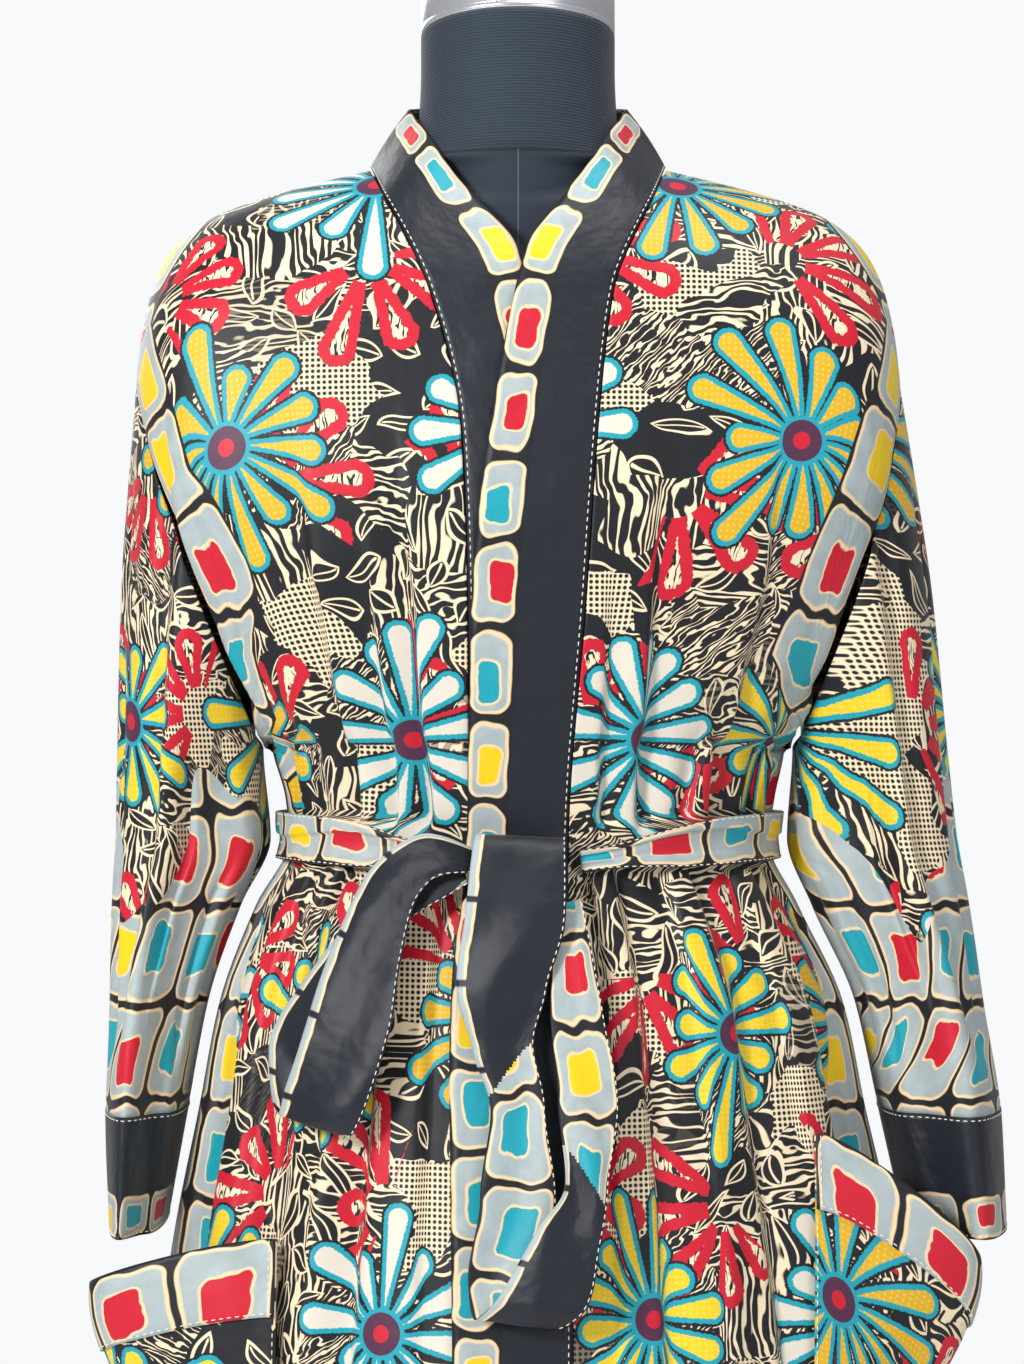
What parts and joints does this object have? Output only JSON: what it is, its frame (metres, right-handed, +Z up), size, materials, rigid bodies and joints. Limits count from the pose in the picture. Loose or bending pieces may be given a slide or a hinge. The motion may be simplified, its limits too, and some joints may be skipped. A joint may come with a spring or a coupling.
{
  "type": "kimono robe on a dress form",
  "caption": "Long kimono robe with sleeves, cuffs, front band, patch pockets and a tied sash, worn on a limbless dress form with a pole and round base.",
  "frame": {"origin": "centre of the round base's underside, on the floor", "axes": "+Z up along the pole; the robe's front faces -Y; +X is towards the robe's left side"},
  "size_m": [0.5332, 0.37, 1.5917],
  "materials": {
    "print": "soft satin weave with an all-over floral print",
    "band": "black satin weave with a tile border",
    "tiles": "satin weave printed with a grid of rounded tiles",
    "jersey": "dark ribbed stretch jersey",
    "chrome": "polished chrome"
  },
  "bodies": {
    "root": {"back": "print", "front_right": "print", "front_left": "print", "sleeve_right": "print", "sleeve_left": "print", "cuff_right": "band", "cuff_left": "band", "neckband_right": "band", "neckband_left": "band", "neckband_back": "band", "pocket_right": "print", "pocket_left": "print", "pocket_band_right": "tiles", "pocket_band_left": "tiles", "sash": "tiles", "sash_knot": "band", "bow_loop_right": "band", "bow_loop_left": "band", "form_torso": "jersey", "form_cap": "chrome", "stand_pole": "chrome", "stand_base": "chrome"}
  },
  "joints": []
}
